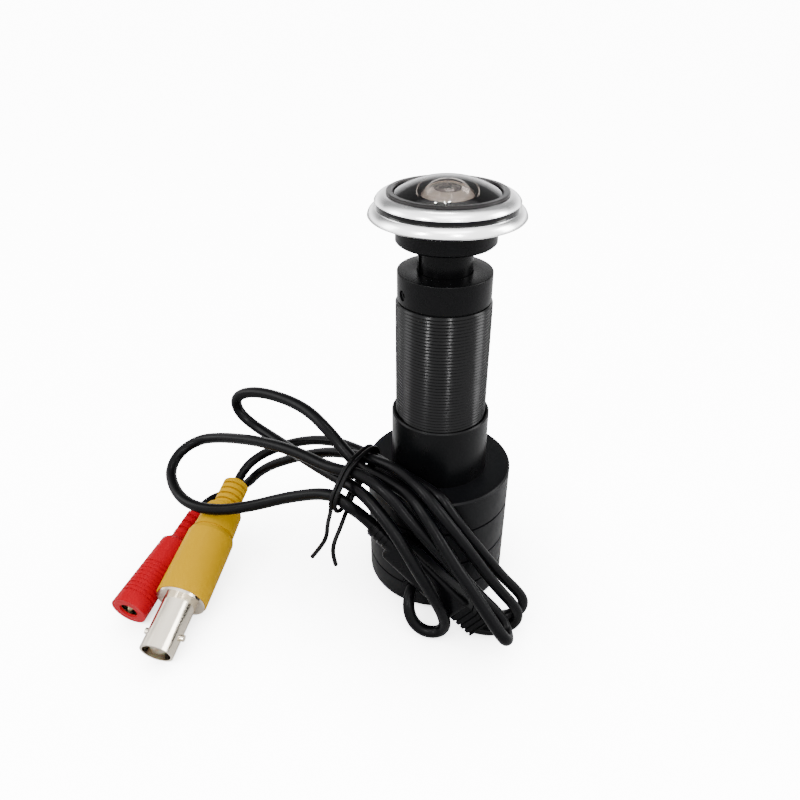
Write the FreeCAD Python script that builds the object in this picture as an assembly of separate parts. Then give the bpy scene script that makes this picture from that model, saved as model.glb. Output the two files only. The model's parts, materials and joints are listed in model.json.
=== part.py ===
# Wide-angle door viewer with a camera in its rear housing, standing on its rear face.
# Frame: millimetres, +Z up along the optical axis, origin at the centre of the base cover's
# underside. The lens looks up, and the cord leaves the rear housing's side.
import FreeCAD, Part
import math
import os

from FreeCAD import Vector

os.makedirs("parts", exist_ok=True)

UP = Vector(0, 0, 1)

# ---- driving dimensions: rear housing ----
HOUSING_R = 23.0
HOUSING_WALL = 2.5
HOUSING_H = 44.0
BASE_TOP = 8.4            # joint between the base cover and the housing tube
TRIM_GROOVE_Z = 19.0      # turned line round the housing tube
CAP_BOTTOM = 32.0         # joint between the housing tube and the top cap
CAP_CEILING = 3.0
JOINT_CHAMFER = 0.35      # edge break on both sides of each joint, seen as a thin line
FLOOR_T = 3.0
FIT = 0.05                # radial clearance of a running fit

# ---- driving dimensions: sleeve and barrel ----
SLEEVE_R = 15.0
SLEEVE_TOP = 64.0
SLEEVE_FOOT_R = 20.2
SLEEVE_FOOT_T = 3.0
THREAD_R = 13.8           # M28 fine thread, crest radius
THREAD_DEPTH = 0.55
THREAD_PITCH = 1.0
BARREL_BOTTOM = 50.0
COLLAR_BOTTOM = 100.4
COLLAR_TOP = 109.0
COLLAR_R = 13.35
BARREL_BORE_R = 11.0

# ---- driving dimensions: neck and head ----
NECK_R = 7.7
NECK_BOTTOM = 92.0
HUB_R = 13.8
HUB_BOTTOM = 117.0
FLANGE_Z = 124.0          # underside of the head, which rests on the door
FLANGE_R = 21.1
HUB_SEAT_Z = 124.4        # the hub's top is let into the flange
GROOVE_Z = 126.6
BEZEL_Z = 127.9
BEZEL_R = 19.2
RIM_Z = 130.0
RIM_R = 16.4
LENS_R = 14.3
LENS_RISE = 4.0
KEYWAY_DEPTH = 0.6

# ---- driving dimensions: clamp screw in the collar ----
CLAMP_Z = 103.7
CLAMP_AZIMUTH = 211.0
CLAMP_R = 1.45

# ---- driving dimensions: boards and screws in the rear housing ----
BOARD_R = 19.6
BOARD_T = 1.6
POWER_BOARD_Z = 7.0
SENSOR_BOARD_Z = 13.0
TIE_CIRCLE_R = 17.6
TIE_AZIMUTHS = (30, 150, 270)
TIE_R = 1.0
SPACER_R = 2.2
CAMERA_TOP = 22.6


def export(shape, node):
    """Write one node's STEP file."""
    shape.exportStep("parts/" + node + ".step")


def tube(outer, inner, low, high):
    """A plain ring or tube about the axis; inner 0 makes a disc."""
    solid = Part.makeCylinder(outer, high - low, Vector(0, 0, low))
    if inner > 0:
        solid = solid.cut(Part.makeCylinder(inner, high - low, Vector(0, 0, low)))
    return solid


def wire_from(segments):
    """A closed wire in the radius-height plane. Each segment is two points, or three for an arc."""
    edges = []
    for points in segments:
        at = [Vector(r, 0, z) for r, z in points]
        if len(at) == 2:
            edges.append(Part.LineSegment(at[0], at[1]).toShape())
        else:
            edges.append(Part.Arc(at[0], at[1], at[2]).toShape())
    return Part.Wire(edges)


def turned(segments):
    """A solid of revolution from its half section."""
    face = Part.Face(wire_from(segments))
    return face.revolve(Vector(0, 0, 0), UP, 360)


def turned_polygon(corners):
    """A solid of revolution whose half section has straight sides only."""
    closed = corners + corners[:1]
    return turned([closed[i:i + 2] for i in range(len(corners))])


def crown(r, edge, rise):
    """The arc of a spherical lens face from its edge at radius r to the axis; rise may be negative."""
    size = abs(rise)
    sphere = (r ** 2 + size ** 2) / (2 * size)
    middle = size - sphere + math.sqrt(sphere ** 2 - (r / 2) ** 2)
    middle = middle if rise > 0 else -middle
    return [(r, edge), (r / 2, edge + middle), (0, edge + rise)]


def around(shape, azimuths):
    """Copies of a shape turned about the axis, as separate solids."""
    copies = []
    for azimuth in azimuths:
        copy = shape.copy()
        copy.rotate(Vector(0, 0, 0), UP, azimuth)
        copies.append(copy)
    return Part.makeCompound(copies)


def rod_z(radius, x, low, high):
    """An upright cylinder at distance x from the axis."""
    return Part.makeCylinder(radius, high - low, Vector(x, 0, low))


def box_about(size_x, size_y, x, y, low, high):
    """A block centred on x, y between two heights."""
    corner = Vector(x - size_x / 2, y - size_y / 2, low)
    return Part.makeBox(size_x, size_y, high - low, corner)


# ---------------------------------------------------------------- rear housing

def base_cover():
    c = JOINT_CHAMFER
    wall_in = HOUSING_R - HOUSING_WALL
    spigot_top = BASE_TOP + 2.5
    spigot_in = wall_in - 0.8
    body = turned_polygon([
        (0, 0), (HOUSING_R - 0.6, 0), (HOUSING_R, 0.6), (HOUSING_R, BASE_TOP - c),
        (HOUSING_R - c, BASE_TOP), (wall_in - FIT, BASE_TOP), (wall_in - FIT, spigot_top),
        (spigot_in, spigot_top), (spigot_in, FLOOR_T), (0, FLOOR_T)])
    for azimuth in TIE_AZIMUTHS:
        body = body.cut(around(rod_z(TIE_R + 0.1, TIE_CIRCLE_R, 0, FLOOR_T), [azimuth]))
        body = body.cut(around(rod_z(2.1, TIE_CIRCLE_R, 0, 1.5), [azimuth]))
        body = body.cut(around(rod_z(SPACER_R + 0.1, TIE_CIRCLE_R, FLOOR_T, spigot_top), [azimuth]))
    return body


def housing_tube():
    c = JOINT_CHAMFER
    wall_in = HOUSING_R - HOUSING_WALL
    body = turned_polygon([
        (wall_in, BASE_TOP), (HOUSING_R - c, BASE_TOP), (HOUSING_R, BASE_TOP + c),
        (HOUSING_R, TRIM_GROOVE_Z - c), (HOUSING_R - c, TRIM_GROOVE_Z),
        (HOUSING_R, TRIM_GROOVE_Z + c), (HOUSING_R, CAP_BOTTOM - c),
        (HOUSING_R - c, CAP_BOTTOM), (wall_in, CAP_BOTTOM)])
    return body.cut(relief_rod(RELIEF_NECK_R, HOUSING_R - 5, HOUSING_R + 5))


def top_cap():
    c = JOINT_CHAMFER
    wall_in = HOUSING_R - HOUSING_WALL
    ceiling = HOUSING_H - CAP_CEILING
    body = turned_polygon([
        (wall_in, CAP_BOTTOM), (HOUSING_R - c, CAP_BOTTOM), (HOUSING_R, CAP_BOTTOM + c),
        (HOUSING_R, HOUSING_H - 0.5), (HOUSING_R - 0.5, HOUSING_H), (SLEEVE_R + FIT, HOUSING_H),
        (SLEEVE_R + FIT, ceiling), (wall_in, ceiling)])
    return body.cut(around(rod_z(TIE_R, TIE_CIRCLE_R, ceiling - 1, ceiling + 1.6), TIE_AZIMUTHS))


def lock_sleeve():
    foot_top = HOUSING_H - CAP_CEILING
    foot_bottom = foot_top - SLEEVE_FOOT_T
    bore = THREAD_R + 2 * FIT
    body = turned_polygon([
        (bore, foot_bottom), (SLEEVE_FOOT_R, foot_bottom), (SLEEVE_FOOT_R, foot_top),
        (SLEEVE_R, foot_top), (SLEEVE_R, SLEEVE_TOP - 0.4), (SLEEVE_R - 0.4, SLEEVE_TOP),
        (bore + 0.3, SLEEVE_TOP), (bore, SLEEVE_TOP - 0.3)])
    return body.cut(around(rod_z(TIE_R + 0.1, TIE_CIRCLE_R, foot_bottom, foot_top), TIE_AZIMUTHS))


def tie_screws():
    shaft_top = HOUSING_H - CAP_CEILING + 1.5
    screw = rod_z(TIE_R, TIE_CIRCLE_R, 0.4, shaft_top)
    screw = screw.fuse(rod_z(1.9, TIE_CIRCLE_R, 0.2, 1.5))
    slot_a = box_about(2.4, 0.5, TIE_CIRCLE_R, 0, 0, 0.9)
    slot_b = box_about(0.5, 2.4, TIE_CIRCLE_R, 0, 0, 0.9)
    return around(screw.cut(slot_a).cut(slot_b), TIE_AZIMUTHS)


def spacers(low, high):
    spacer = rod_z(SPACER_R, TIE_CIRCLE_R, low, high)
    bore = rod_z(TIE_R + 0.05, TIE_CIRCLE_R, low, high)
    return around(spacer.cut(bore), TIE_AZIMUTHS)


def board(low):
    disc = tube(BOARD_R, 0, low, low + BOARD_T)
    holes = around(rod_z(TIE_R + 0.1, TIE_CIRCLE_R, low, low + BOARD_T), TIE_AZIMUTHS)
    return disc.cut(holes)


def board_components():
    """Two capacitors, a coil, a regulator and a video chip on the power board."""
    top = POWER_BOARD_Z + BOARD_T
    parts = [
        rod_z(2.2, -11.5, top, top + 4.0),
        Part.makeCylinder(2.2, 4.0, Vector(-7.0, 8.5, top)),
        box_about(5.0, 5.0, 8.5, 8.0, top, top + 2.6),
        box_about(6.0, 4.0, 9.0, -5.5, top, top + 1.6),
        box_about(8.0, 8.0, 0, 0, top, top + 1.2)]
    return Part.makeCompound(parts)


SENSOR_TOP = SENSOR_BOARD_Z + BOARD_T + 1.4


def image_sensor():
    return box_about(8.4, 8.4, 0, 0, SENSOR_BOARD_Z + BOARD_T, SENSOR_TOP)


def lens_holder():
    low = SENSOR_BOARD_Z + BOARD_T
    foot = box_about(24, 13, 0, 0, low, low + 3.0)
    body = foot.fuse(tube(7.8, 0, low, low + 6.2))
    body = body.cut(box_about(9.2, 9.2, 0, 0, low, low + 1.7))
    body = body.cut(tube(6.0 + FIT, 0, low, low + 7))
    for side in (-1, 1):
        body = body.cut(rod_z(0.85, side * 10.2, low, low + 3))
    return body


def holder_screws():
    low = SENSOR_BOARD_Z + BOARD_T
    screws = []
    for side in (-1, 1):
        shaft = rod_z(0.8, side * 10.2, low, low + 3.0)
        screws.append(shaft.fuse(rod_z(1.5, side * 10.2, low + 3.0, low + 4.0)))
    return Part.makeCompound(screws)


def camera_lens_tube():
    return tube(6.0, 3.6, SENSOR_TOP + 0.5, CAMERA_TOP - 0.4)


def camera_lens_glass():
    """The small lens behind the barrel, with a crowned front."""
    low = SENSOR_TOP + 1.2
    edge = CAMERA_TOP - 0.9
    return turned([
        [(0, low), (3.55, low)], [(3.55, low), (3.55, edge)],
        crown(3.55, edge, CAMERA_TOP - edge), [(0, CAMERA_TOP), (0, low)]])


# ---------------------------------------------------------------- barrel

def thread_corners(low, high):
    """The outside of a stretch of fine thread, drawn as one V per turn."""
    corners = []
    turns = int((high - low) / THREAD_PITCH)
    for turn in range(turns):
        start = low + turn * THREAD_PITCH
        corners.append((THREAD_R, start + 0.06))
        corners.append((THREAD_R - THREAD_DEPTH, start + THREAD_PITCH / 2))
        corners.append((THREAD_R, start + THREAD_PITCH - 0.06))
    return corners


EYEPIECE_SEAT_R = 11.6
EYEPIECE_SEAT_TOP = 57.0
NECK_BEARING_BOTTOM = 95.0


def barrel_tube():
    thread_low = BARREL_BOTTOM + 0.6
    thread_high = COLLAR_BOTTOM - 0.8
    relief_r = THREAD_R - THREAD_DEPTH
    corners = [(EYEPIECE_SEAT_R, BARREL_BOTTOM), (relief_r, BARREL_BOTTOM)]
    corners += thread_corners(thread_low, thread_high)
    corners += [
        (relief_r, thread_high + 0.2), (relief_r, COLLAR_BOTTOM), (COLLAR_R, COLLAR_BOTTOM),
        (COLLAR_R, COLLAR_TOP - 0.35), (COLLAR_R - 0.35, COLLAR_TOP),
        (NECK_R + FIT + 0.3, COLLAR_TOP), (NECK_R + FIT, COLLAR_TOP - 0.3),
        (NECK_R + FIT, NECK_BEARING_BOTTOM), (BARREL_BORE_R, NECK_BEARING_BOTTOM - 3),
        (BARREL_BORE_R, EYEPIECE_SEAT_TOP), (EYEPIECE_SEAT_R, EYEPIECE_SEAT_TOP)]
    return turned_polygon(corners).cut(clamp_rod(CLAMP_R + FIT, NECK_R - 1, COLLAR_R + 1))


def clamp_rod(radius, inner, outer):
    """A radial cylinder on the clamp screw's line, between two distances from the axis."""
    azimuth = math.radians(CLAMP_AZIMUTH)
    out = Vector(math.cos(azimuth), math.sin(azimuth), 0)
    start = out * inner + Vector(0, 0, CLAMP_Z)
    return Part.makeCylinder(radius, outer - inner, start, out)


CLAMP_PAD_IN = NECK_R - KEYWAY_DEPTH + 0.05
CLAMP_PAD_OUT = 9.3
CLAMP_SCREW_OUT = 12.7


def clamp_pad():
    return clamp_rod(1.2, CLAMP_PAD_IN, CLAMP_PAD_OUT)


def clamp_screw():
    """A grub screw with a hexagon socket."""
    body = clamp_rod(CLAMP_R, CLAMP_PAD_OUT, CLAMP_SCREW_OUT)
    azimuth = math.radians(CLAMP_AZIMUTH)
    out = Vector(math.cos(azimuth), math.sin(azimuth), 0)
    side = Vector(-math.sin(azimuth), math.cos(azimuth), 0)
    centre = out * (CLAMP_SCREW_OUT - 1.6) + Vector(0, 0, CLAMP_Z)
    corners = []
    for step in range(7):
        angle = math.radians(60 * step)
        corners.append(centre + side * (0.85 * math.cos(angle)) + UP * (0.85 * math.sin(angle)))
    socket = Part.Face(Part.makePolygon(corners)).extrude(out * 3)
    return body.cut(socket)


def eyepiece_lens():
    """The lens in the barrel's lower end, crowned on both faces."""
    r = EYEPIECE_SEAT_R - 0.1
    low = 52.6
    high = 56.2
    return turned([
        crown(r, low, -0.8)[::-1], [(r, low), (r, high)], crown(r, high, 0.8),
        [(0, high + 0.8), (0, low - 0.8)]])


def eyepiece_ring():
    r = EYEPIECE_SEAT_R - 0.1
    return turned_polygon([(9.8, 50.3), (r, 50.3), (r, 52.5), (10.4, 52.2)])


# ---------------------------------------------------------------- neck and head

def neck_tube():
    body = tube(NECK_R, 6.2, NECK_BOTTOM, FLANGE_Z + 1.2)
    slot_in = NECK_R - KEYWAY_DEPTH
    slot = Part.makeBox(3, 2.6, HUB_BOTTOM - 1 - NECK_BOTTOM, Vector(slot_in, -1.3, NECK_BOTTOM))
    slot.rotate(Vector(0, 0, 0), UP, CLAMP_AZIMUTH)
    return body.cut(slot)


def neck_end_ring():
    return turned_polygon([(5.0, NECK_BOTTOM), (6.2, NECK_BOTTOM), (6.2, NECK_BOTTOM + 2),
                           (5.4, NECK_BOTTOM + 2)])


def relay_lens():
    low = NECK_BOTTOM + 2.9
    high = low + 2.0
    r = 6.15
    return turned([
        crown(r, low, -0.8)[::-1], [(r, low), (r, high)], crown(r, high, 0.7),
        [(0, high + 0.7), (0, low - 0.8)]])


def relay_spacer():
    return tube(6.15, 5.3, NECK_BOTTOM + 6.2, 122.6)


def head_hub():
    return turned_polygon([
        (NECK_R + FIT, HUB_BOTTOM), (HUB_R - 0.5, HUB_BOTTOM), (HUB_R, HUB_BOTTOM + 0.5),
        (HUB_R, HUB_SEAT_Z), (NECK_R + FIT, HUB_SEAT_Z)])


def lower_flange_ring():
    """The broad polished ring that rests on the door; its edge rolls over to the top."""
    top = GROOVE_Z
    return turned([
        [(NECK_R + FIT, HUB_SEAT_Z), (HUB_R + FIT, HUB_SEAT_Z)],
        [(HUB_R + FIT, HUB_SEAT_Z), (HUB_R + FIT, FLANGE_Z)],
        [(HUB_R + FIT, FLANGE_Z), (FLANGE_R - 0.3, FLANGE_Z)],
        [(FLANGE_R - 0.3, FLANGE_Z), (FLANGE_R, FLANGE_Z + 0.4)],
        [(FLANGE_R, FLANGE_Z + 0.4), (FLANGE_R - 0.55, FLANGE_Z + 1.7), (BEZEL_R + 0.1, top)],
        [(BEZEL_R + 0.1, top), (LENS_R + 0.2, top)],
        [(LENS_R + 0.2, top), (LENS_R + 0.2, FLANGE_Z + 1.2)],
        [(LENS_R + 0.2, FLANGE_Z + 1.2), (NECK_R + FIT, FLANGE_Z + 1.2)],
        [(NECK_R + FIT, FLANGE_Z + 1.2), (NECK_R + FIT, HUB_SEAT_Z)]])


def groove_ring():
    return tube(BEZEL_R - 0.5, LENS_R + 0.2, GROOVE_Z, BEZEL_Z)


def upper_bezel_ring():
    """The smaller polished ring, rolled from its outer edge up to the lens rim."""
    return turned([
        [(LENS_R + 0.2, BEZEL_Z), (BEZEL_R - 0.2, BEZEL_Z)],
        [(BEZEL_R - 0.2, BEZEL_Z), (BEZEL_R, BEZEL_Z + 0.3)],
        [(BEZEL_R, BEZEL_Z + 0.3), (BEZEL_R - 0.95, BEZEL_Z + 1.45), (RIM_R, RIM_Z)],
        [(RIM_R, RIM_Z), (RIM_R - 0.8, RIM_Z)],
        [(RIM_R - 0.8, RIM_Z), (RIM_R - 0.8, BEZEL_Z + 0.8)],
        [(RIM_R - 0.8, BEZEL_Z + 0.8), (LENS_R + 0.2, BEZEL_Z + 0.8)],
        [(LENS_R + 0.2, BEZEL_Z + 0.8), (LENS_R + 0.2, BEZEL_Z)]])


def retaining_rim():
    """The dark threaded ring that holds the front lens down."""
    low = BEZEL_Z + 0.8
    top = RIM_Z + 0.7
    r = RIM_R - 0.8
    return turned_polygon([
        (LENS_R + 0.05, low), (r, low), (r, RIM_Z), (r + 0.5, RIM_Z + 0.1), (r + 0.4, top - 0.1),
        (r + 0.1, top), (LENS_R + 0.35, top), (LENS_R + 0.05, RIM_Z + 0.3)])


LENS_BOTTOM = 127.5
HOLLOW_R = 7.7
HOLLOW_RISE = 4.6


def front_lens():
    """The deep meniscus dome: shallow outside, a near-hemispherical hollow inside."""
    half = LENS_R / 2
    outer_radius = (LENS_R ** 2 + LENS_RISE ** 2) / (2 * LENS_RISE)
    outer_mid = RIM_Z + LENS_RISE - outer_radius + math.sqrt(outer_radius ** 2 - half ** 2)
    inner_radius = (HOLLOW_R ** 2 + HOLLOW_RISE ** 2) / (2 * HOLLOW_RISE)
    inner_half = HOLLOW_R / 2
    inner_mid = LENS_BOTTOM + HOLLOW_RISE - inner_radius
    inner_mid += math.sqrt(inner_radius ** 2 - inner_half ** 2)
    return turned([
        [(HOLLOW_R, LENS_BOTTOM), (LENS_R, LENS_BOTTOM)],
        [(LENS_R, LENS_BOTTOM), (LENS_R, RIM_Z)],
        [(LENS_R, RIM_Z), (half, outer_mid), (0, RIM_Z + LENS_RISE)],
        [(0, RIM_Z + LENS_RISE), (0, LENS_BOTTOM + HOLLOW_RISE)],
        [(0, LENS_BOTTOM + HOLLOW_RISE), (inner_half, inner_mid), (HOLLOW_R, LENS_BOTTOM)]])


def lens_seat():
    """The black cup under the front lens."""
    low = FLANGE_Z + 1.2
    return turned_polygon([
        (NECK_R - 1.4, low), (LENS_R, low), (LENS_R, LENS_BOTTOM), (HOLLOW_R - 0.2, LENS_BOTTOM),
        (HOLLOW_R - 0.2, low + 0.9), (NECK_R - 1.4, low + 0.9)])


def lens_cell_ring():
    """The pale cone-faced ring that holds the second lens, seen through the dome."""
    low = FLANGE_Z + 2.1
    return turned_polygon([
        (4.2, low), (HOLLOW_R - 0.25, low), (HOLLOW_R - 0.25, LENS_BOTTOM - 0.2),
        (6.7, LENS_BOTTOM + 0.5), (4.7, LENS_BOTTOM + 1.5), (4.2, LENS_BOTTOM + 1.3)])


def second_lens():
    low = FLANGE_Z + 2.1
    edge = LENS_BOTTOM + 0.9
    r = 4.15
    return turned([
        [(0, low), (r, low)], [(r, low), (r, edge)],
        crown(r, edge, 1.3), [(0, edge + 1.3), (0, low)]])


# ---- driving dimensions: cords, plugs, splitter and tie ----
RELIEF_NECK_R = 3.0
RELIEF_AZIMUTH = 255.0
RELIEF_Z = 12.0
CABLE_D = 3.8
LEAD_D = 3.4
JACK_R = 5.3
POWER_GRIPS = 9

# The tied cord's route, chosen by hand: out of the gland, up to the tie, round the upper loop,
# down to the near fold and back, through the tie and round the lower loop, to the splitter.
MAIN_ROUTE = [
    (-7, -26.1, 12), (-8.2, -30.6, 11), (-7, -33.4, 5.6), (-3.2, -34.6, 2.1), (1.6, -34.8, 1.9),
    (4, -35.2, 5.6), (3, -35.6, 11.4), (0.6, -35.8, 17.4), (-2.6, -35, 23.6),
    (-6.2, -33.4, 29.6), (-9.6, -31, 34.6), (-13, -28.2, 38.4), (-17.2, -24.6, 41.6),
    (-21.4, -20.8, 44.2), (-25.6, -17.6, 45.2), (-30.8, -12.6, 44), (-38, -5.6, 42.4),
    (-47.4, 3.4, 41), (-58, 14, 39.6), (-66.5, 20.8, 39.6), (-73, 24, 43.4), (-73.4, 23.6, 50),
    (-66.4, 20.8, 54.6), (-55, 14.6, 56.8), (-43.5, 6, 57.6), (-35, -3, 55.6),
    (-28.6, -9, 51.4), (-22.8, -12.2, 47.2), (-17.4, -14.6, 46.8), (-12.6, -18, 46.6),
    (-8, -22.2, 46.6), (-3.6, -27, 43.6), (1.2, -31.6, 38), (5.6, -34.9, 32),
    (9.8, -37.2, 26.4), (13.8, -39.2, 20.8), (18, -41.4, 15), (21.2, -42.8, 10.4),
    (22.6, -41.2, 8.2), (22.6, -38.1, 7.4), (21.6, -35.4, 8.8), (19, -34.8, 13),
    (16, -34.6, 16.4), (12, -34.2, 21), (7.6, -33, 26), (3.2, -31.6, 30.6), (-2, -29.8, 36),
    (-7, -27.8, 40.8), (-12.2, -24.4, 45.6), (-17.8, -20.4, 48.6), (-24.2, -16, 49.2),
    (-31, -13.4, 48.2), (-37.4, -8.4, 46.6), (-44.4, -3.4, 46.2), (-53, 2, 45),
    (-62.4, 8.6, 42), (-72, 14.6, 38.4), (-80.6, 19.4, 35), (-88.8, 22.2, 31.8),
    (-95.6, 18.6, 28.6), (-97.2, 11, 25.6), (-93, 3, 24), (-86.6, -4, 24.2), (-78.5, -8.2, 25),
    (-69.5, -9.6, 26.4), (-60, -9.6, 29), (-51, -10.8, 33.2), (-43.2, -13.2, 37.2),
    (-36.2, -16.6, 41.2), (-30.6, -20.2, 43.4), (-26, -22.4, 41), (-23.1, -20.3, 36.5),
    (-19.7, -21.5, 33.6)]
POWER_ROUTE = [
    (13.6, -33.4, 3.2), (17.8, -33.2, 1.9), (21.6, -31.6, 1.8), (25.4, -31, 3),
    (26.8, -31, 7.6), (24.6, -31, 12.2), (20.6, -31.2, 17.6), (16.6, -31.4, 23.4),
    (12.6, -31.2, 29.6), (8.6, -30.6, 35.6), (4.2, -29.4, 41.6), (-1.2, -26.2, 47.2),
    (-7, -21, 50.8), (-13.4, -15.4, 51.8), (-21.3, -9.2, 50), (-29.4, -3.4, 47.2),
    (-36.2, 2.2, 43.4), (-45, 7.4, 38), (-53.8, 11.6, 32), (-60.4, 14.2, 27.4),
    (-66.6, 16.6, 21.6), (-72, 17.6, 14.8), (-79.4, 15.2, 12.2), (-85.2, 9.6, 12.8),
    (-87, 3.5, 12)]
VIDEO_ROUTE = [
    (16, -33.6, 6.2), (20, -29.2, 4.2), (24, -26.4, 2), (28, -25.6, 3.4), (28.8, -25.8, 8.2),
    (26.4, -26.2, 12.8), (22, -26.6, 18.2), (17.6, -26.6, 24.2), (13.2, -26.4, 30.4),
    (9, -26, 36.2), (5.2, -26, 42), (1, -23.4, 47.6), (-4.8, -18.2, 47.6), (-11.8, -12.8, 47.8),
    (-20, -6.6, 48.4), (-27.6, 0.6, 46.6), (-34.8, 7.6, 43.8), (-43.4, 13.8, 39.8),
    (-52.4, 18.2, 35), (-61, 20.4, 30), (-68, 20, 25.6), (-72.2, 16.8, 22.2), (-73.4, 11.8, 20)]

SPLITTER_START = Vector(-19.7, -21.5, 33.6)
SPLITTER_END = Vector(14.8, -33.5, 4.7)
SPLITTER_WIDE = Vector(-0.630, 0.052, -0.773)
SPLITTER_HALF_W = 5.0
SPLITTER_HALF_T = 3.0
SPLITTER_BOOT = 8.2
VIDEO_REAR = Vector(-73.4, 11.8, 20.0)
VIDEO_TIP = Vector(-82.7, -50.6, 4.9)
POWER_REAR = Vector(-87.0, 3.5, 12.0)
POWER_FACE = Vector(-96.9, -36.5, 6.0)


def relief_rod(radius, inner, outer):
    """A radial cylinder on the cord's exit line."""
    azimuth = math.radians(RELIEF_AZIMUTH)
    out = Vector(math.cos(azimuth), math.sin(azimuth), 0)
    start = out * inner + Vector(0, 0, RELIEF_Z)
    return Part.makeCylinder(radius, outer - inner, start, out)


def strain_relief():
    """A push-in bushing: neck through the wall, flange outside it and a ribbed nose."""
    parts = [relief_rod(RELIEF_NECK_R - 0.02, 20.6, 23.2), relief_rod(4.1, 23.1, 24.3),
             relief_rod(2.7, 24.3, 27.0)]
    parts += [relief_rod(3.2, start, start + 0.6) for start in (24.8, 25.9)]
    solid = parts[0]
    for part in parts[1:]:
        solid = solid.fuse(part)
    return solid.removeSplitter()


def wire_plug():
    """The loom's small connector on the power board."""
    azimuth = math.radians(RELIEF_AZIMUTH)
    block = box_about(3.4, 5.2, 13.2, 0, POWER_BOARD_Z + BOARD_T, POWER_BOARD_Z + BOARD_T + 2.6)
    return around(block, [math.degrees(azimuth)])


def wire_loom():
    """The cord's inner wires between the bushing and the board connector."""
    azimuth = math.radians(RELIEF_AZIMUTH)
    x, y = math.cos(azimuth), math.sin(azimuth)
    points = [(x * r, y * r, z) for r, z in ((20.6, 12.0), (17.9, 11.9), (16.4, 10.2), (14.9, 10.0))]
    return cord(points, 1.5, "wire_loom")


def rounded_path(points):
    """Straight runs joined by tangent arcs; returns the wire, its length and the arc radii."""
    at = [Vector(*point) for point in points]
    edges, radii, here = [], [], at[0]
    for i in range(1, len(at) - 1):
        back, ahead = at[i - 1] - at[i], at[i + 1] - at[i]
        reach = 0.45 * min(back.Length, ahead.Length)
        half_turn = (math.pi - back.getAngle(ahead)) / 2
        back.normalize()
        ahead.normalize()
        radius = reach / math.tan(half_turn)
        enter, leave = at[i] + back * reach, at[i] + ahead * reach
        toward = back + ahead
        toward.normalize()
        middle = at[i] + toward * (radius / math.cos(half_turn) - radius)
        edges.append(Part.LineSegment(here, enter).toShape())
        edges.append(Part.Arc(enter, middle, leave).toShape())
        radii.append(radius)
        here = leave
    edges.append(Part.LineSegment(here, at[-1]).toShape())
    return Part.Wire(edges), radii


def cord(points, diameter, name):
    """A round cord along the route; prints its length, radii and volume check."""
    spine, radii = rounded_path(points)
    start = Vector(*points[0])
    section = Part.Wire(Part.makeCircle(diameter / 2, start, Vector(*points[1]) - start))
    solid = spine.makePipeShell([section], True, False)
    expected = math.pi * diameter ** 2 / 4 * spine.Length
    print(name, "length", round(spine.Length, 1), "least radius", round(min(radii), 1),
          "volume ratio", round(solid.Volume / expected, 3))
    return solid


def placed(solid, start, end, side):
    """Move a solid built along local X from the origin to lie from start to end."""
    along = end - start
    along.normalize()
    across = side - along * side.dot(along)
    across.normalize()
    turn = FreeCAD.Rotation(along, across, along.cross(across), "XYZ")
    solid.Placement = FreeCAD.Placement(start, turn)
    return solid


def along_x(steps):
    """A stepped solid of revolution about local X from (x, r) corners; closed onto the axis."""
    corners = [Vector(steps[0][0], 0, 0)] + [Vector(x, r, 0) for x, r in steps]
    corners += [Vector(steps[-1][0], 0, 0), corners[0]]
    edges = [Part.LineSegment(a, b).toShape() for a, b in zip(corners, corners[1:])]
    face = Part.Face(Part.Wire(edges))
    return face.revolve(Vector(0, 0, 0), Vector(1, 0, 0), 360)


def rod_x(radius, low, high):
    return Part.makeCylinder(radius, high - low, Vector(low, 0, 0), Vector(1, 0, 0))


def ribbed(start, pitch, count, valley, crest):
    """Corner list of square ribs along a boot."""
    corners = []
    for i in range(count):
        x = start + i * pitch
        corners += [(x, valley), (x + pitch * 0.35, valley), (x + pitch * 0.35, crest), (x + pitch, crest)]
    return corners


def y_splitter():
    """The moulded splitter where the cord divides: a flat body with a ribbed boot at each end."""
    length = (SPLITTER_END - SPLITTER_START).Length
    low, high = SPLITTER_BOOT, length - SPLITTER_BOOT
    body = Part.makeBox(high - low, SPLITTER_HALF_W * 2, SPLITTER_HALF_T * 2,
                        Vector(low, -SPLITTER_HALF_W, -SPLITTER_HALF_T))
    body = body.makeFillet(1.8, body.Edges)
    inlet = along_x(ribbed(0, 1.9, 4, 2.5, 3.0) + [(7.6, 2.9), (low + 2, 2.9)])
    outlet = Part.makeBox(SPLITTER_BOOT + 1.5, 8.0, 4.6, Vector(high - 1.5, -4.0, -2.3))
    for i in range(4):
        x = high + 1.2 + i * 1.9
        slot = Part.makeBox(0.7, 12, 12, Vector(x, -6, -6))
        slot = slot.cut(Part.makeBox(0.7, 7.2, 3.8, Vector(x, -3.6, -1.9)))
        outlet = outlet.cut(slot)
    solid = body.fuse(inlet).fuse(outlet).removeSplitter()
    return placed(solid, SPLITTER_START, SPLITTER_END, SPLITTER_WIDE)


def on_video(solid):
    return placed(solid, VIDEO_REAR, VIDEO_TIP, Vector(1, 0, 0))


def on_power(solid):
    return placed(solid, POWER_REAR, POWER_FACE, Vector(1, 0, 0))


def video_overmould():
    steps = ribbed(0, 2.3, 5, 3.6, 4.6) + [
        (11.5, 4.4), (12.0, 4.4), (12.0, 6.2), (13.0, 6.7), (21.8, 7.1), (21.8, 6.7),
        (22.8, 6.7), (22.8, 7.6), (24.0, 8.0), (46.9, 8.3)]
    return on_video(along_x(steps).cut(rod_x(4.97, 40.0, 47.0)))


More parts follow.
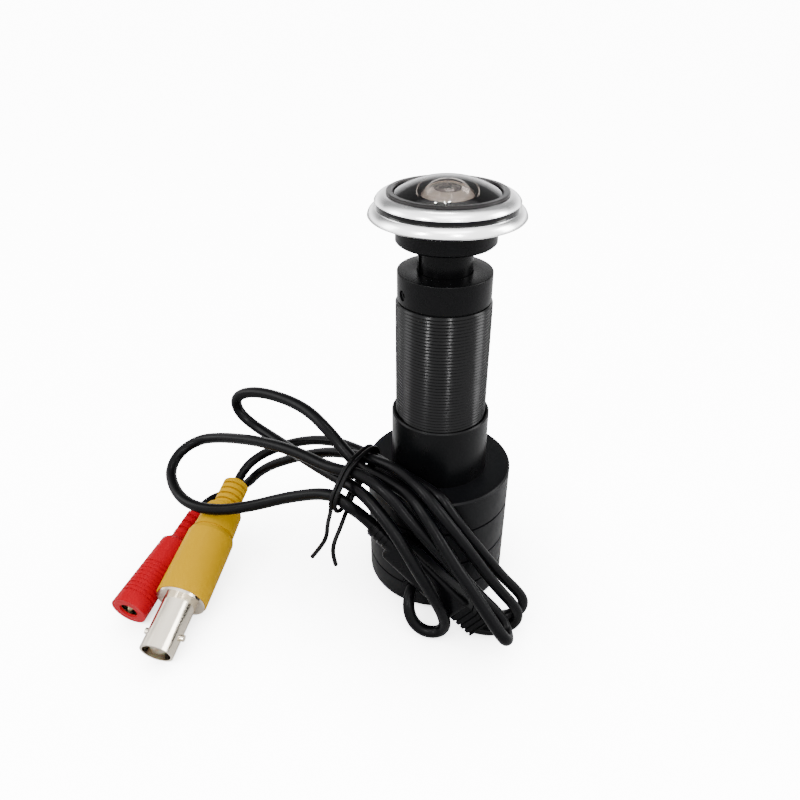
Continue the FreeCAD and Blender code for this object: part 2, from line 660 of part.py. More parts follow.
def video_shell():
    """The bayonet jack's barrel: rear collar, flange, and two lugs near the open end."""
    length = (VIDEO_TIP - VIDEO_REAR).Length
    shell = along_x([(40.1, 4.95), (46.9, 4.95), (46.9, 7.9), (47.9, 7.9), (47.9, JACK_R),
                     (length, JACK_R)])
    lug = Part.makeCylinder(1.0, 12.8, Vector(length - 6.0, -6.4, 0), Vector(0, 1, 0))
    return on_video(shell.fuse(lug).cut(rod_x(4.55, 40.0, length + 1)).removeSplitter())


def video_insulator():
    body = along_x([(42.0, 4.55), (50.0, 4.55), (50.0, 2.6), (61.0, 2.6)])
    return on_video(body.cut(rod_x(0.7, 41.0, 62.0)))


def video_contact():
    return on_video(rod_x(0.7, 43.0, 60.4).cut(rod_x(0.45, 56.0, 61.0)))


def power_overmould():
    face = (POWER_FACE - POWER_REAR).Length
    steps = ribbed(0, 2.7, 4, 2.1, 2.9) + [(10.8, 2.6), (12.4, 3.0), (14.6, 4.9)]
    for i in range(POWER_GRIPS):
        x = 25.0 + i * 1.5
        r = 4.9 + 1.1 * (x - 14.6) / (face - 14.6)
        steps += [(x, r), (x, r - 0.25), (x + 0.5, r - 0.25), (x + 0.5, r + 0.02)]
    steps.append((face, 6.0))
    return on_power(along_x(steps).cut(rod_x(3.25, 29.0, face + 1)))


def power_sleeve():
    return on_power(rod_x(3.25, 31.0, 41.0).cut(rod_x(2.85, 30.0, 42.0)))


def power_pin():
    return on_power(along_x([(29.0, 3.25), (31.0, 3.25), (31.0, 1.05), (38.4, 1.05), (39.0, 0.6)]))


TIE_CENTRE = Vector(-25.1, -13.1, 47.0)
TIE_ALONG = Vector(0.887, -0.461, 0)
TIE_ACROSS = Vector(0.461, 0.887, 0)
TIE_WIRE_R = 0.7
TIE_PITCH = 1.5
TIE_ROUND = [(-11.9, -6.8), (-12.0, -2.6), (-6.8, 2.4), (-3.0, 5.2), (5.6, 5.6), (9.8, 4.4),
             (11.5, 0.4), (8.6, -1.9), (1.6, -2.9), (-4.4, -5.4), (-8.2, -8.8)]
TIE_TAIL_IN = [(-38, -27.4, 24.8), (-35.2, -28.4, 29.6), (-32.8, -28.2, 34), (-32.6, -26.4, 38)]
TIE_TAIL_OUT = [(-28.8, -26.2, 36.4), (-30.5, -30.2, 33.4), (-30.8, -31, 29.4), (-30.2, -30.2, 24.8)]


def twist_tie():
    """A coated wire wound twice round the bundle, its two tails left hanging."""
    points = list(TIE_TAIL_IN)
    for i, (across, up) in enumerate(TIE_ROUND * 2):
        along = TIE_PITCH * (i / len(TIE_ROUND) - 1)
        points.append(tuple(TIE_CENTRE + TIE_ACROSS * across + TIE_ALONG * along + Vector(0, 0, up)))
    return cord(points + TIE_TAIL_OUT, 2 * TIE_WIRE_R, "twist_tie")


NODES = {
    "base_cover": base_cover, "housing_tube": housing_tube, "top_cap": top_cap,
    "lock_sleeve": lock_sleeve, "tie_screws": tie_screws,
    "lower_spacers": lambda: spacers(FLOOR_T, POWER_BOARD_Z),
    "middle_spacers": lambda: spacers(POWER_BOARD_Z + BOARD_T, SENSOR_BOARD_Z),
    "upper_spacers": lambda: spacers(SENSOR_BOARD_Z + BOARD_T, HOUSING_H - CAP_CEILING - 3.0),
    "power_board": lambda: board(POWER_BOARD_Z), "sensor_board": lambda: board(SENSOR_BOARD_Z),
    "board_components": board_components, "image_sensor": image_sensor,
    "lens_holder": lens_holder, "holder_screws": holder_screws,
    "camera_lens_tube": camera_lens_tube, "camera_lens_glass": camera_lens_glass,
    "barrel_tube": barrel_tube, "clamp_pad": clamp_pad, "clamp_screw": clamp_screw,
    "eyepiece_lens": eyepiece_lens, "eyepiece_ring": eyepiece_ring,
    "neck_tube": neck_tube, "neck_end_ring": neck_end_ring, "relay_lens": relay_lens,
    "relay_spacer": relay_spacer, "head_hub": head_hub, "lower_flange_ring": lower_flange_ring,
    "groove_ring": groove_ring, "upper_bezel_ring": upper_bezel_ring,
    "retaining_rim": retaining_rim, "front_lens": front_lens, "lens_seat": lens_seat,
    "lens_cell_ring": lens_cell_ring, "second_lens": second_lens,
    "strain_relief": strain_relief, "wire_plug": wire_plug, "wire_loom": wire_loom,
    "main_cable": lambda: cord(MAIN_ROUTE, CABLE_D, "main_cable"),
    "power_lead": lambda: cord(POWER_ROUTE, LEAD_D, "power_lead"),
    "video_lead": lambda: cord(VIDEO_ROUTE, LEAD_D, "video_lead"),
    "y_splitter": y_splitter, "video_overmould": video_overmould, "video_shell": video_shell,
    "video_insulator": video_insulator, "video_contact": video_contact,
    "power_overmould": power_overmould, "power_sleeve": power_sleeve, "power_pin": power_pin,
    "twist_tie": twist_tie,
}

for node, make in NODES.items():
    shape = make()
    export(shape, node)
    print(node, "solids", len(shape.Solids), "valid", shape.isValid(), "volume", round(shape.Volume, 1))
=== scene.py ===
import math

import bmesh
import bpy
from mathutils import Matrix, Vector
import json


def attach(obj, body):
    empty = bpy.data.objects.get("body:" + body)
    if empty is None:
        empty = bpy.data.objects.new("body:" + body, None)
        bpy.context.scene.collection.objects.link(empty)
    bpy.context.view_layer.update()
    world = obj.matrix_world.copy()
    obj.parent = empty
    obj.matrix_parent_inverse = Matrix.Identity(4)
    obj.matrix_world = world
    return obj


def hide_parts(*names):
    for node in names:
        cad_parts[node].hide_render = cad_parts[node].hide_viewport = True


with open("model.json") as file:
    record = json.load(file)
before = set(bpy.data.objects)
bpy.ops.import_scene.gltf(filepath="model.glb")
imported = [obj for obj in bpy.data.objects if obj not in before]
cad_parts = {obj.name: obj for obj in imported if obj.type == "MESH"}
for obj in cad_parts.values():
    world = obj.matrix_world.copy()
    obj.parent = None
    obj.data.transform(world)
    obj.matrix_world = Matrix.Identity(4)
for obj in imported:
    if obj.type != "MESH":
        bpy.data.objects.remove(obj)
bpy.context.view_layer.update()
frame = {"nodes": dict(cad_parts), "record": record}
NODES = frame["nodes"]
MM = 0.001

# ------------------------------------------------------------ camera

camera_data = bpy.data.cameras.new("photo_camera")
camera_data.lens = 30.32
camera_data.sensor_width = 36.0
camera_data.clip_start = 0.005
camera_data.dof.use_dof = False
camera = bpy.data.objects.new("photo_camera", camera_data)
camera.location = (0.0, -0.1764, 0.1768)
camera.rotation_euler = (math.radians(57.94), math.radians(0.14), math.radians(3.98))
bpy.context.scene.collection.objects.link(camera)
bpy.context.scene.camera = camera

# ------------------------------------------------------------ cords

MAIN_ROUTE = [
    (-7, -26.1, 12), (-8.2, -30.6, 11), (-7, -33.4, 5.6), (-3.2, -34.6, 2.1), (1.6, -34.8, 1.9),
    (4, -35.2, 5.6), (3, -35.6, 11.4), (0.6, -35.8, 17.4), (-2.6, -35, 23.6),
    (-6.2, -33.4, 29.6), (-9.6, -31, 34.6), (-13, -28.2, 38.4), (-17.2, -24.6, 41.6),
    (-21.4, -20.8, 44.2), (-25.6, -17.6, 45.2), (-30.8, -12.6, 44), (-38, -5.6, 42.4),
    (-47.4, 3.4, 41), (-58, 14, 39.6), (-66.5, 20.8, 39.6), (-73, 24, 43.4), (-73.4, 23.6, 50),
    (-66.4, 20.8, 54.6), (-55, 14.6, 56.8), (-43.5, 6, 57.6), (-35, -3, 55.6),
    (-28.6, -9, 51.4), (-22.8, -12.2, 47.2), (-17.4, -14.6, 46.8), (-12.6, -18, 46.6),
    (-8, -22.2, 46.6), (-3.6, -27, 43.6), (1.2, -31.6, 38), (5.6, -34.9, 32),
    (9.8, -37.2, 26.4), (13.8, -39.2, 20.8), (18, -41.4, 15), (21.2, -42.8, 10.4),
    (22.6, -41.2, 8.2), (22.6, -38.1, 7.4), (21.6, -35.4, 8.8), (19, -34.8, 13),
    (16, -34.6, 16.4), (12, -34.2, 21), (7.6, -33, 26), (3.2, -31.6, 30.6), (-2, -29.8, 36),
    (-7, -27.8, 40.8), (-12.2, -24.4, 45.6), (-17.8, -20.4, 48.6), (-24.2, -16, 49.2),
    (-31, -13.4, 48.2), (-37.4, -8.4, 46.6), (-44.4, -3.4, 46.2), (-53, 2, 45),
    (-62.4, 8.6, 42), (-72, 14.6, 38.4), (-80.6, 19.4, 35), (-88.8, 22.2, 31.8),
    (-95.6, 18.6, 28.6), (-97.2, 11, 25.6), (-93, 3, 24), (-86.6, -4, 24.2), (-78.5, -8.2, 25),
    (-69.5, -9.6, 26.4), (-60, -9.6, 29), (-51, -10.8, 33.2), (-43.2, -13.2, 37.2),
    (-36.2, -16.6, 41.2), (-30.6, -20.2, 43.4), (-26, -22.4, 41), (-23.1, -20.3, 36.5),
    (-19.7, -21.5, 33.6)]
POWER_ROUTE = [
    (13.6, -33.4, 3.2), (17.8, -33.2, 1.9), (21.6, -31.6, 1.8), (25.4, -31, 3),
    (26.8, -31, 7.6), (24.6, -31, 12.2), (20.6, -31.2, 17.6), (16.6, -31.4, 23.4),
    (12.6, -31.2, 29.6), (8.6, -30.6, 35.6), (4.2, -29.4, 41.6), (-1.2, -26.2, 47.2),
    (-7, -21, 50.8), (-13.4, -15.4, 51.8), (-21.3, -9.2, 50), (-29.4, -3.4, 47.2),
    (-36.2, 2.2, 43.4), (-45, 7.4, 38), (-53.8, 11.6, 32), (-60.4, 14.2, 27.4),
    (-66.6, 16.6, 21.6), (-72, 17.6, 14.8), (-79.4, 15.2, 12.2), (-85.2, 9.6, 12.8),
    (-87, 3.5, 12)]
VIDEO_ROUTE = [
    (16, -33.6, 6.2), (20, -29.2, 4.2), (24, -26.4, 2), (28, -25.6, 3.4), (28.8, -25.8, 8.2),
    (26.4, -26.2, 12.8), (22, -26.6, 18.2), (17.6, -26.6, 24.2), (13.2, -26.4, 30.4),
    (9, -26, 36.2), (5.2, -26, 42), (1, -23.4, 47.6), (-4.8, -18.2, 47.6), (-11.8, -12.8, 47.8),
    (-20, -6.6, 48.4), (-27.6, 0.6, 46.6), (-34.8, 7.6, 43.8), (-43.4, 13.8, 39.8),
    (-52.4, 18.2, 35), (-61, 20.4, 30), (-68, 20, 25.6), (-72.2, 16.8, 22.2), (-73.4, 11.8, 20)]
TIE_CENTRE = Vector((-25.1, -13.1, 47.0))
TIE_ALONG = Vector((0.887, -0.461, 0))
TIE_ACROSS = Vector((0.461, 0.887, 0))
TIE_PITCH = 1.5
TIE_ROUND = [(-11.9, -6.8), (-12.0, -2.6), (-6.8, 2.4), (-3.0, 5.2), (5.6, 5.6), (9.8, 4.4),
             (11.5, 0.4), (8.6, -1.9), (1.6, -2.9), (-4.4, -5.4), (-8.2, -8.8)]
TIE_TAIL_IN = [(-38, -27.4, 24.8), (-35.2, -28.4, 29.6), (-32.8, -28.2, 34), (-32.6, -26.4, 38)]
TIE_TAIL_OUT = [(-28.8, -26.2, 36.4), (-30.5, -30.2, 33.4), (-30.8, -31, 29.4),
                (-30.2, -30.2, 24.8)]


def link(obj):
    bpy.context.scene.collection.objects.link(obj)
    return obj


def nurbs(name, route, diameter, sides):
    """A round cord that follows the route; an open curve with a bevel."""
    curve = bpy.data.curves.new(name, "CURVE")
    curve.dimensions = "3D"
    curve.bevel_depth = diameter / 2
    curve.bevel_resolution = sides
    curve.use_fill_caps = True
    line = curve.splines.new("NURBS")
    line.points.add(len(route) - 1)
    for point, at in zip(line.points, route):
        point.co = (at[0] * MM, at[1] * MM, at[2] * MM, 1.0)
        point.radius = MM        # scales the bevel, and keeps the curve's box tight
    line.order_u = 3
    line.use_endpoint_u = True
    line.resolution_u = 8
    return link(bpy.data.objects.new(name, curve))


def tie_route():
    route = list(TIE_TAIL_IN)
    for i, (across, up) in enumerate(TIE_ROUND * 2):
        along = TIE_PITCH * (i / len(TIE_ROUND) - 1)
        offset = TIE_ACROSS * across + TIE_ALONG * along + Vector((0, 0, up))
        route.append(tuple(TIE_CENTRE + offset))
    return route + TIE_TAIL_OUT


main_cable = nurbs("main_cable_skin", MAIN_ROUTE, 3.8, 8)
power_lead = nurbs("power_lead_skin", POWER_ROUTE, 3.4, 8)
video_lead = nurbs("video_lead_skin", VIDEO_ROUTE, 3.4, 8)
tie_wire = nurbs("twist_tie_skin", tie_route(), 1.4, 4)
for piece, node in ((main_cable, "main_cable"), (power_lead, "power_lead"),
                    (video_lead, "video_lead"), (tie_wire, "twist_tie")):
    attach(piece, "rear_housing")
    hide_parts(node)

# ------------------------------------------------------------ materials

DRIFT_SCALE, SMUDGE_SCALE, TURNING_SCALE, SCRATCH_SCALE = 90.0, 240.0, 9000.0, 900.0
SCRATCH_STRETCH = (1.0, 0.08, 0.4)
GRAIN_DEPTH, MARK_DEPTH = 0.00002, 0.00001
COAT_ROUGH = 0.1
# Sockets of the mix node, which repeats its names for each kind of data.
MIX_FACTOR, MIX_COLOR_A, MIX_COLOR_B, MIX_COLOR_OUT = 0, 6, 7, 2
MIX_FLOAT_A, MIX_FLOAT_B, MIX_FLOAT_OUT = 2, 3, 0


def finish(name, color, rough, metal=0.0, vary=0.08, rough_vary=0.06, grain=2500.0, bump=0.08,
           coat=0.0, transmission=0.0, ior=1.5, subsurface=0.0, turned=0.0, scratches=0.0,
           specular=0.5):
    """A procedural finish: drifting colour and roughness, fine grain, optional turning marks."""
    material = bpy.data.materials.new(name)
    material.use_nodes = True
    tree = material.node_tree
    put = tree.nodes["Principled BSDF"].inputs
    put["Metallic"].default_value = metal
    put["IOR"].default_value = ior
    put["Coat Weight"].default_value = coat
    put["Coat Roughness"].default_value = COAT_ROUGH
    put["Transmission Weight"].default_value = transmission
    put["Subsurface Weight"].default_value = subsurface
    put["Subsurface Scale"].default_value = 0.001
    put["Specular IOR Level"].default_value = specular
    where = tree.nodes.new("ShaderNodeTexCoord")

    def noise(scale, detail, stretch=None):
        node = tree.nodes.new("ShaderNodeTexNoise")
        node.inputs["Scale"].default_value = scale
        node.inputs["Detail"].default_value = detail
        source = where.outputs["Object"]
        if stretch:
            mapping = tree.nodes.new("ShaderNodeMapping")
            mapping.inputs["Scale"].default_value = stretch
            tree.links.new(source, mapping.inputs["Vector"])
            source = mapping.outputs["Vector"]
        tree.links.new(source, node.inputs["Vector"])
        return node

    drift = noise(DRIFT_SCALE, 3.0)
    mix = tree.nodes.new("ShaderNodeMix")
    mix.data_type = "RGBA"
    low = [max(0.0, c * (1 - vary)) for c in color[:3]] + [1.0]
    high = [min(1.0, c * (1 + vary)) for c in color[:3]] + [1.0]
    mix.inputs[MIX_COLOR_A].default_value = low
    mix.inputs[MIX_COLOR_B].default_value = high
    tree.links.new(drift.outputs["Fac"], mix.inputs[MIX_FACTOR])
    tree.links.new(mix.outputs[MIX_COLOR_OUT], put["Base Color"])
    smudge = noise(SMUDGE_SCALE, 5.0)
    spread = tree.nodes.new("ShaderNodeMapRange")
    spread.inputs["From Min"].default_value = 0.3
    spread.inputs["From Max"].default_value = 0.7
    spread.inputs["To Min"].default_value = max(0.02, rough - rough_vary)
    spread.inputs["To Max"].default_value = min(1.0, rough + rough_vary)
    tree.links.new(smudge.outputs["Fac"], spread.inputs["Value"])
    tree.links.new(spread.outputs["Result"], put["Roughness"])
    normal = None
    layers = []
    if bump:
        layers.append((noise(grain, 4.0).outputs["Fac"], bump, GRAIN_DEPTH))
    if turned:
        apart = tree.nodes.new("ShaderNodeSeparateXYZ")
        tree.links.new(where.outputs["Object"], apart.inputs["Vector"])
        square = tree.nodes.new("ShaderNodeCombineXYZ")
        tree.links.new(apart.outputs["X"], square.inputs["X"])
        tree.links.new(apart.outputs["Y"], square.inputs["Y"])
        radius = tree.nodes.new("ShaderNodeVectorMath")
        radius.operation = "LENGTH"
        tree.links.new(square.outputs["Vector"], radius.inputs[0])
        line = tree.nodes.new("ShaderNodeMath")
        line.operation = "ADD"
        tree.links.new(radius.outputs["Value"], line.inputs[0])
        tree.links.new(apart.outputs["Z"], line.inputs[1])
        marks = tree.nodes.new("ShaderNodeTexNoise")
        marks.noise_dimensions = "1D"
        marks.inputs["Scale"].default_value = TURNING_SCALE
        marks.inputs["Detail"].default_value = 3.0
        tree.links.new(line.outputs["Value"], marks.inputs["W"])
        layers.append((marks.outputs["Fac"], turned, MARK_DEPTH))
    if scratches:
        across = noise(SCRATCH_SCALE, 6.0, SCRATCH_STRETCH)
        layers.append((across.outputs["Fac"], scratches, MARK_DEPTH))
    for height, strength, distance in layers:
        node = tree.nodes.new("ShaderNodeBump")
        node.inputs["Strength"].default_value = strength
        node.inputs["Distance"].default_value = distance
        tree.links.new(height, node.inputs["Height"])
        if normal:
            tree.links.new(normal, node.inputs["Normal"])
        normal = node.outputs["Normal"]
    if normal:
        tree.links.new(normal, put["Normal"])
    return material


M = {
    "housing_paint": finish("housing_paint", (0.0022, 0.0022, 0.0027), 0.4, vary=0.2,
                            rough_vary=0.05, grain=5200, bump=0.12, specular=0.07),
    "sleeve_metal": finish("sleeve_metal", (0.0018, 0.0018, 0.0021), 0.30, vary=0.1,
                           rough_vary=0.04, turned=0.04, grain=6000, bump=0.02, specular=0.08),
    "zinc_screw": finish("zinc_screw", (0.62, 0.62, 0.6), 0.3, 1.0, turned=0.1, scratches=0.2),
    "spacer_metal": finish("spacer_metal", (0.8, 0.8, 0.79), 0.3, 1.0, turned=0.3),
    "board_laminate": finish("board_laminate", (0.015, 0.13, 0.05), 0.35, vary=0.3, grain=800,
                             bump=0.2, coat=0.4),
    "component_body": finish("component_body", (0.02, 0.02, 0.022), 0.5, grain=4000, bump=0.3),
    "sensor_die": finish("sensor_die", (0.06, 0.07, 0.12), 0.1, 0.3, coat=1.0),
    "black_alloy": finish("black_alloy", (0.012, 0.012, 0.013), 0.4, 0.5, turned=0.4),
    # coated_glass is tinted nearly black: painted shade for the dark barrel seen through the
    # lenses.
    "coated_glass": finish("coated_glass", (0.05, 0.04, 0.045), 0.03, transmission=1.0,
                           rough_vary=0.01, bump=0.0, specular=0.12),
    "dome_glass": finish("dome_glass", (0.80, 0.74, 0.69), 0.02, transmission=1.0,
                         rough_vary=0.01, bump=0.0, vary=0.02, ior=1.45, specular=0.14),
    "thread_metal": finish("thread_metal", (0.0018, 0.0018, 0.0020), 0.2, vary=0.2,
                           rough_vary=0.05, grain=2500, bump=0.1, specular=0.10),
    "neck_metal": finish("neck_metal", (0.0018, 0.0018, 0.0021), 0.27, turned=0.03,
                         rough_vary=0.04, grain=4000, bump=0.01, specular=0.08),
    "bright_chrome": finish("bright_chrome", (0.97, 0.97, 0.97), 0.24, 1.0, vary=0.02,
                            rough_vary=0.04, turned=0.06, bump=0.02),
    "black_gloss": finish("black_gloss", (0.0015, 0.0015, 0.0018), 0.1, rough_vary=0.03,
                          specular=0.15),
    "rim_metal": finish("rim_metal", (0.014, 0.013, 0.013), 0.32, 0.2, turned=0.15, grain=4000,
                        bump=0.04, specular=0.2),
    "seat_alloy": finish("seat_alloy", (0.016, 0.009, 0.007), 0.6, turned=0.1, specular=0.05),
    "cell_alloy": finish("cell_alloy", (0.26, 0.245, 0.23), 0.5, 0.3, turned=0.3, specular=0.2),
    "clamp_nylon": finish("clamp_nylon", (0.75, 0.73, 0.68), 0.5, subsurface=0.2),
    "screw_steel": finish("screw_steel", (0.02, 0.02, 0.021), 0.35, 0.5, turned=0.1),
    "cord_jacket": finish("cord_jacket", (0.0020, 0.0020, 0.0024), 0.28, vary=0.2,
                          rough_vary=0.05, grain=2600, bump=0.05, specular=0.06),
    "loom_jacket": finish("loom_jacket", (0.5, 0.04, 0.03), 0.35),
    "connector_white": finish("connector_white", (0.8, 0.79, 0.74), 0.4, subsurface=0.1),
    "tie_coating": finish("tie_coating", (0.0018, 0.0018, 0.0018), 0.32, grain=4000, bump=0.06,
                          specular=0.07),
    "yellow_moulding": finish("yellow_moulding", (0.56, 0.31, 0.0), 0.42, vary=0.04, grain=3500,
                              bump=0.05, specular=0.03),
    "red_moulding": finish("red_moulding", (0.42, 0.001, 0.010), 0.42, vary=0.05, grain=3500,
                           bump=0.07, specular=0.05),
    "nickel_plate": finish("nickel_plate", (0.62, 0.56, 0.46), 0.17, 1.0, vary=0.06,
                           scratches=0.15),
    "white_insulator": finish("white_insulator", (0.85, 0.84, 0.8), 0.35, subsurface=0.2),
    "gold_contact": finish("gold_contact", (0.85, 0.6, 0.22), 0.2, 1.0),
}


def paint_joint_shade(material, heights, half_width):
    """Takes the shine out of thin bands at the housing's joints: painted shade in their grooves.
    """
    tree = material.node_tree
    gloss = tree.nodes["Principled BSDF"].inputs["Specular IOR Level"]
    where = tree.nodes.new("ShaderNodeTexCoord")
    apart = tree.nodes.new("ShaderNodeSeparateXYZ")
    tree.links.new(where.outputs["Object"], apart.inputs["Vector"])
    nearest = None
    for height in heights:
        away = tree.nodes.new("ShaderNodeMath")
        away.operation = "COMPARE"
        away.inputs[1].default_value = height * MM
        away.inputs[2].default_value = half_width * MM
        tree.links.new(apart.outputs["Z"], away.inputs[0])
        if nearest:
            both = tree.nodes.new("ShaderNodeMath")
            both.operation = "MAXIMUM"
            tree.links.new(nearest, both.inputs[0])
            tree.links.new(away.outputs["Value"], both.inputs[1])
            nearest = both.outputs["Value"]
        else:
            nearest = away.outputs["Value"]
    spread = tree.nodes.new("ShaderNodeMapRange")
    spread.inputs["To Min"].default_value = gloss.default_value
    spread.inputs["To Max"].default_value = 0.0
    tree.links.new(nearest, spread.inputs["Value"])
    tree.links.new(spread.outputs["Result"], gloss)


# Painted shade along the housing's three joints.
HOUSING_JOINTS, JOINT_HALF_WIDTH = (8.4, 19.0, 32.0), 0.36
paint_joint_shade(M["housing_paint"], HOUSING_JOINTS, JOINT_HALF_WIDTH)
for row in frame["record"]["subparts"]:
    mesh = NODES[row["node"]].data
    mesh.materials.clear()
    mesh.materials.append(M[row["material_slot"]])


def dress(obj, slot_name):
    obj.data.materials.clear()
    obj.data.materials.append(M[slot_name])


for piece in (main_cable, power_lead, video_lead):
    dress(piece, "cord_jacket")
dress(tie_wire, "tie_coating")

# ------------------------------------------------------------ turned pieces with finer detail

LATHE_SEGMENTS, THREAD_SEGMENTS, DRILL_SEGMENTS = 192, 120, 48
CORNER_STEPS = 4
CREASE_DEGREES = 32
DRILL_START = 8.0            # radius at which a drilled hole ends, mm


def mesh_object(name, verts, faces, smooth=True):
    mesh = bpy.data.meshes.new(name)
    mesh.from_pydata(verts, [], faces)
    mesh.validate()
    mesh.polygons.foreach_set("use_smooth", [smooth] * len(mesh.polygons))
    mesh.update()
    return link(bpy.data.objects.new(name, mesh))


def softened(corners, radius):
    """The closed outline with each corner rounded by an arc of about that radius."""
    outline = []
    count = len(corners)
    for i in range(count):
        here = Vector(corners[i])
        back = Vector(corners[i - 1]) - here
        ahead = Vector(corners[(i + 1) % count]) - here
        reach = min(radius, 0.45 * back.length, 0.45 * ahead.length)
        if here.x < 1e-6 or reach < 1e-4:
            outline.append(tuple(here))
            continue
        enter = here + back.normalized() * reach
        leave = here + ahead.normalized() * reach
        for k in range(CORNER_STEPS + 1):
            t = k / CORNER_STEPS
            outline.append(tuple(enter * (1 - t) ** 2 + here * 2 * t * (1 - t) + leave * t ** 2))
    return outline


def lathe(name, outline):
    """A solid of revolution about Z from a closed (radius, height) outline in millimetres."""
    verts, faces = [], []
    count = len(outline)
    segments = LATHE_SEGMENTS
    for r, z in outline:
        for j in range(segments):
            a = 2 * math.pi * j / segments
            verts.append((r * math.cos(a) * MM, r * math.sin(a) * MM, z * MM))
    for i in range(count):
        n = (i + 1) % count
        if outline[i][0] < 1e-6 and outline[n][0] < 1e-6:
            continue
        for j in range(segments):
            m = (j + 1) % segments
            faces.append((i * segments + j, n * segments + j, n * segments + m, i * segments + m))
    obj = mesh_object(name, verts, faces)
    tidy = bmesh.new()
    tidy.from_mesh(obj.data)
    bmesh.ops.remove_doubles(tidy, verts=tidy.verts, dist=1e-7)
    bmesh.ops.recalc_face_normals(tidy, faces=tidy.faces)
    tidy.to_mesh(obj.data)
    tidy.free()
    return obj


def stand_for(obj, node, body, slot_name):
    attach(obj, body)
    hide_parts(node)
    dress(obj, slot_name)


def thread_piece():
    """The barrel's thread: a true right-hand helix that runs out at both ends."""
    pitch, crest, root, low, high = 1.0, 13.8, 13.25, 50.0, 100.4
    run_in, run_out, end_drop = 1.2, 0.8, 0.5
    section = [(0.0, crest), (0.10, crest), (0.42, root), (0.56, root), (0.88, crest)]
    segments = THREAD_SEGMENTS
    rows = []
    turns = int((high - low) / pitch)
    for t in range(-1, turns + 1):
        for phase, r in section:
            rows.append((low + (t + phase) * pitch, r))
    verts, faces = [], []
    for z0, r in rows:
        for j in range(segments + 1):
            a = 2 * math.pi * j / segments
            z = min(max(z0 + pitch * j / segments, low), high)
            ease = max(0.0, min(1.0, (z - low) / run_in, (high - z) / run_out))
            rr = crest - (crest - r) * ease - end_drop * (1 - ease) ** 2
            verts.append((rr * math.cos(a) * MM, rr * math.sin(a) * MM, z * MM))
    span = segments + 1
    for i in range(len(rows) - 1):
        for j in range(segments):
            at = i * span + j
            faces.append((at, at + 1, at + span + 1, at + span))
    return mesh_object("barrel_thread", verts, faces)


def bored(piece, radius, azimuth, z, reach):
    """Drills a hole into the piece from the side."""
    a = math.radians(azimuth)
    cut = bmesh.new()
    bmesh.ops.create_cone(cut, cap_ends=True, segments=DRILL_SEGMENTS, radius1=radius * MM,
                          radius2=radius * MM, depth=reach * MM)
    mesh = bpy.data.meshes.new("drill")
    cut.to_mesh(mesh)
    cut.free()
    drill = link(bpy.data.objects.new("drill", mesh))
    out = Vector((math.cos(a), math.sin(a), 0))
    centre = Vector((0, 0, z * MM)) + out * (DRILL_START + reach / 2) * MM
    turn = out.to_track_quat("Z", "Y").to_matrix().to_4x4()
    drill.matrix_world = Matrix.Translation(centre) @ turn
    cutting = piece.modifiers.new("drilled", "BOOLEAN")
    cutting.operation = "DIFFERENCE"
    cutting.solver = "EXACT"
    cutting.object = drill
    bpy.context.view_layer.update()
    graph = bpy.context.evaluated_depsgraph_get()
    made = bpy.data.meshes.new_from_object(piece.evaluated_get(graph))
    piece.modifiers.clear()
    piece.data = made
    bpy.data.objects.remove(drill)


def sharp_where_steep(obj):
    """Smooth shading, kept crisp across steep edges."""
    steep = math.radians(CREASE_DEGREES)
    work = bmesh.new()
    work.from_mesh(obj.data)
    for edge in work.edges:
        edge.smooth = len(edge.link_faces) == 2 and edge.calc_face_angle(0) < steep
    for face in work.faces:
        face.smooth = True
    work.to_mesh(obj.data)
    work.free()


BARREL_LOW, COLLAR_TOP = 50, 109
BARREL_BORE, NECK_BORE, THREAD_CORE, COLLAR_RADIUS = 11, 7.75, 13.1, 13.35
BARREL_CORNERS = [(BARREL_BORE, BARREL_LOW), (THREAD_CORE, BARREL_LOW), (THREAD_CORE, 100.7),
                  (COLLAR_RADIUS, 100.9), (COLLAR_RADIUS, COLLAR_TOP), (NECK_BORE, COLLAR_TOP),
                  (NECK_BORE, 98), (BARREL_BORE, 95)]
BARREL_ROUNDING = 0.3

stand_for(thread_piece(), "barrel_tube", "barrel", "thread_metal")
collar = lathe("barrel_collar", softened(BARREL_CORNERS, BARREL_ROUNDING))
bored(collar, radius=1.5, azimuth=211, z=103.7, reach=6)      # the clamp screw's hole
sharp_where_steep(collar)
stand_for(collar, "barrel_tube", "barrel", "neck_metal")

# ------------------------------------------------------------ stage

GLOW_NEAR, GLOW_OPEN, GLOW_REACH = 0.6, 12.0, 0.05
# The walls as they light the pieces, as they show in reflections, and as the camera sees them.
WALL_LIGHT, WALL_SHINE, WALL_SEEN = 0.35, 3.4, 12.6

floor = mesh_object("floor", [(-30, -30, -0.0001), (30, -30, -0.0001), (30, 30, -0.0001),
                              (-30, 30, -0.0001)], [(0, 1, 2, 3)], False)
pale = finish("pale_table", (0.8, 0.8, 0.805), 0.6, vary=0.01, bump=0.03, grain=600, specular=0.1)
table = pale.node_tree
open_sky = table.nodes.new("ShaderNodeAmbientOcclusion")
open_sky.inputs["Distance"].default_value = GLOW_REACH
# Overexposed, less so where pieces stand close: painted contact shadow from ambient occlusion.
glow_with_painted_shadow = table.nodes.new("ShaderNodeMapRange")
glow_with_painted_shadow.inputs["To Min"].default_value = GLOW_NEAR
glow_with_painted_shadow.inputs["To Max"].default_value = GLOW_OPEN
glow = table.nodes.new("ShaderNodeMath")
glow.operation = "MULTIPLY"
seen = table.nodes.new("ShaderNodeLightPath")
table.links.new(open_sky.outputs["AO"], glow_with_painted_shadow.inputs["Value"])
table.links.new(glow_with_painted_shadow.outputs["Result"], glow.inputs[0])
table.links.new(seen.outputs["Is Camera Ray"], glow.inputs[1])
table.nodes["Principled BSDF"].inputs["Emission Color"].default_value = (1, 1, 1, 1)
table.links.new(glow.outputs["Value"], table.nodes["Principled BSDF"].inputs["Emission Strength"])
floor.data.materials.append(pale)


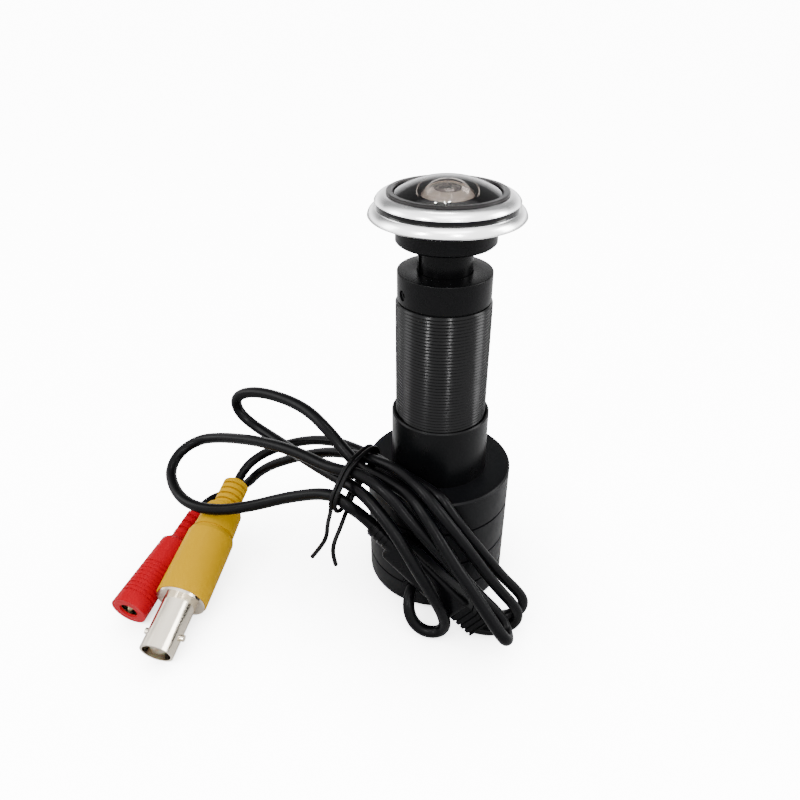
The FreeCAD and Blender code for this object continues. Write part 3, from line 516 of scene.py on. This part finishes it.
def soft_light(name, at, aim, width, height, power):
    data = bpy.data.lights.new(name, "AREA")
    data.shape = "RECTANGLE"
    data.size = width
    data.size_y = height
    data.energy = power
    obj = link(bpy.data.objects.new(name, data))
    obj.location = at
    obj.rotation_euler = (Vector(aim) - Vector(at)).to_track_quat("-Z", "Y").to_euler()


soft_light("top_softbox", (0.1, -0.35, 1.0), (0, 0, 0.05), 0.6, 0.35, 4.5)
soft_light("left_softbox", (-0.7, 0.0, 0.4), (0, 0, 0.07), 0.25, 0.5, 2.4)
soft_light("right_softbox", (0.7, 0.05, 0.4), (0, 0, 0.07), 0.25, 0.5, 5.0)
soft_light("strip_lamp_left", (-0.43, -0.55, 0.6), (0, 0, 0.08), 0.035, 0.3, 4.0)
soft_light("strip_lamp_right", (0.2, -0.66, 0.6), (0, 0, 0.08), 0.03, 0.3, 3.0)
for number, (x, y) in enumerate(((-0.17, 0.33), (-0.03, 0.3), (0.03, 0.34))):
    soft_light("ceiling_spot_%d" % number, (x, y, 1.1), (0, 0, 0.1), 0.03, 0.03, 0.7)

# Pale walls all round: they show in reflections more than they light the table.
world = bpy.data.worlds.new("studio")
world.use_nodes = True
sky = world.node_tree
ray = sky.nodes.new("ShaderNodeLightPath")
facing = sky.nodes.new("ShaderNodeTexCoord")
split = sky.nodes.new("ShaderNodeSeparateXYZ")
sky.links.new(facing.outputs["Generated"], split.inputs["Vector"])


def ramp(source, low, high, to_low, to_high):
    node = sky.nodes.new("ShaderNodeMapRange")
    for field, value in (("From Min", low), ("From Max", high),
                         ("To Min", to_low), ("To Max", to_high)):
        node.inputs[field].default_value = value
    sky.links.new(source, node.inputs["Value"])
    return node.outputs["Result"]


def product(first, second):
    node = sky.nodes.new("ShaderNodeMath")
    node.operation = "MULTIPLY"
    sky.links.new(first, node.inputs[0])
    sky.links.new(second, node.inputs[1])
    return node.outputs["Value"]


# In reflections the far side is dark above the table's edge, and everything else is pale.
far_dark = product(ramp(split.outputs["Y"], 0.2, 0.5, 0.0, 0.9),
                   ramp(split.outputs["Z"], 0.08, 0.42, 0.0, 1.0))
shine = ramp(far_dark, 0.0, 1.0, WALL_SHINE, 0.0)
level = sky.nodes.new("ShaderNodeMix")
level.data_type = "FLOAT"
level.inputs[MIX_FLOAT_A].default_value = WALL_LIGHT
sky.links.new(shine, level.inputs[MIX_FLOAT_B])
sky.links.new(ray.outputs["Is Glossy Ray"], level.inputs[MIX_FACTOR])
seen_level = sky.nodes.new("ShaderNodeMix")
seen_level.data_type = "FLOAT"
seen_level.inputs[MIX_FLOAT_B].default_value = WALL_SEEN
sky.links.new(level.outputs[MIX_FLOAT_OUT], seen_level.inputs[MIX_FLOAT_A])
sky.links.new(ray.outputs["Is Camera Ray"], seen_level.inputs[MIX_FACTOR])
sky.links.new(seen_level.outputs[MIX_FLOAT_OUT], sky.nodes["Background"].inputs["Strength"])
sky.nodes["Background"].inputs["Color"].default_value = (0.99, 0.99, 1.0, 1.0)
bpy.context.scene.world = world

bpy.context.view_layer.update()
